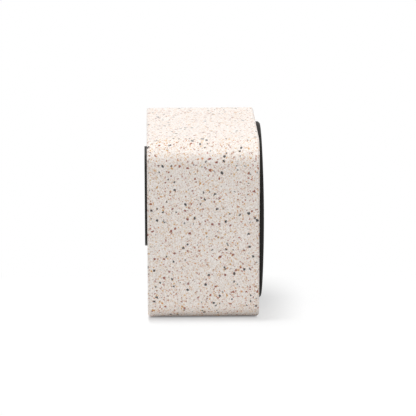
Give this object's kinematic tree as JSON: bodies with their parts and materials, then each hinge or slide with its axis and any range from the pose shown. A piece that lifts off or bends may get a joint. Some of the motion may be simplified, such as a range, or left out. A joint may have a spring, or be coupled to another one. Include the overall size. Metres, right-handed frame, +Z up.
{
  "type": "wireless speaker",
  "caption": "Free-standing wireless speaker: rounded-square speckled cabinet, domed round slotted grille in front, flush push buttons and a charging socket on a thin rear panel.",
  "frame": {"origin": "on the floor, under the middle of the object's bounding box", "axes": "+Z up, the grille faces -Y, the control panel faces +Y"},
  "size_m": [0.12, 0.0789, 0.121],
  "materials": {
    "speckled_composite": "satin off-white mineral composite with small dark, red-brown and ochre grains",
    "grille_paint": "satin black paint on pressed steel",
    "acoustic_cloth": "black open-weave cloth",
    "dark_plastic": "fine-grained charcoal plastic",
    "key_plastic": "smooth charcoal plastic",
    "frame_paint": "black coated pressed steel",
    "bright_steel": "zinc-plated steel",
    "magnet_alloy": "nickel-plated magnet",
    "soft_rubber": "matt black rubber",
    "foam": "closed-cell dark foam",
    "cone_paper": "dark pressed paper",
    "copper": "enamelled copper wire on a thin former",
    "spider_cloth": "impregnated woven cloth",
    "tag_metal": "tinned solder tags on a laminate strip",
    "light_pipe": "milky translucent plastic",
    "socket_plastic": "black moulded insulator",
    "board_laminate": "green solder-masked laminate",
    "chip_plastic": "black moulded component case",
    "connector_plastic": "ivory moulded connector",
    "battery_wrap": "blue shrink wrap round cells"
  },
  "bodies": {
    "housing": {"cabinet": "speckled_composite", "grille": "grille_paint", "grille_cloth": "acoustic_cloth", "grille_ring": "dark_plastic", "driver_basket": "frame_paint", "driver_gasket": "foam", "driver_screws": "bright_steel", "surround": "soft_rubber", "spider": "spider_cloth", "pole_plate": "bright_steel", "magnet": "magnet_alloy", "motor_cup": "bright_steel", "driver_terminal": "tag_metal", "rear_panel": "dark_plastic", "panel_seal": "foam", "status_light": "light_pipe", "usb_shell": "bright_steel", "usb_tongue": "socket_plastic", "control_board": "board_laminate", "wireless_module": "bright_steel", "amplifier_chip": "chip_plastic", "filter_capacitors": "chip_plastic", "board_connectors": "connector_plastic", "battery_pack": "battery_wrap", "battery_pad": "foam", "foot_front_left": "soft_rubber", "foot_front_right": "soft_rubber", "foot_back_left": "soft_rubber", "foot_back_right": "soft_rubber", "switch_power": "chip_plastic", "switch_pair": "chip_plastic", "switch_plus": "chip_plastic", "switch_minus": "chip_plastic"},
    "power_key": {"button_power": "key_plastic"},
    "pair_key": {"button_pair": "key_plastic"},
    "plus_key": {"button_plus": "key_plastic"},
    "minus_key": {"button_minus": "key_plastic"},
    "cone_assembly": {"cone": "cone_paper", "dust_cap": "cone_paper", "voice_coil": "copper"}
  },
  "joints": [
    {"name": "power_key_press", "type": "slide", "parent": "housing", "child": "power_key", "axis": [0, -1, 0], "range_m": [0, 0.0006], "stiffness_N_per_m": 3000},
    {"name": "pair_key_press", "type": "slide", "parent": "housing", "child": "pair_key", "axis": [0, -1, 0], "range_m": [0, 0.0006], "stiffness_N_per_m": 3000},
    {"name": "plus_key_press", "type": "slide", "parent": "housing", "child": "plus_key", "axis": [0, -1, 0], "range_m": [0, 0.0006], "stiffness_N_per_m": 3000},
    {"name": "minus_key_press", "type": "slide", "parent": "housing", "child": "minus_key", "axis": [0, -1, 0], "range_m": [0, 0.0006], "stiffness_N_per_m": 3000},
    {"name": "cone_stroke", "type": "slide", "parent": "housing", "child": "cone_assembly", "axis": [0, -1, 0], "range_m": [-0.0015, 0.0015], "stiffness_N_per_m": 1200, "deforming": ["surround", "spider"]}
  ]
}
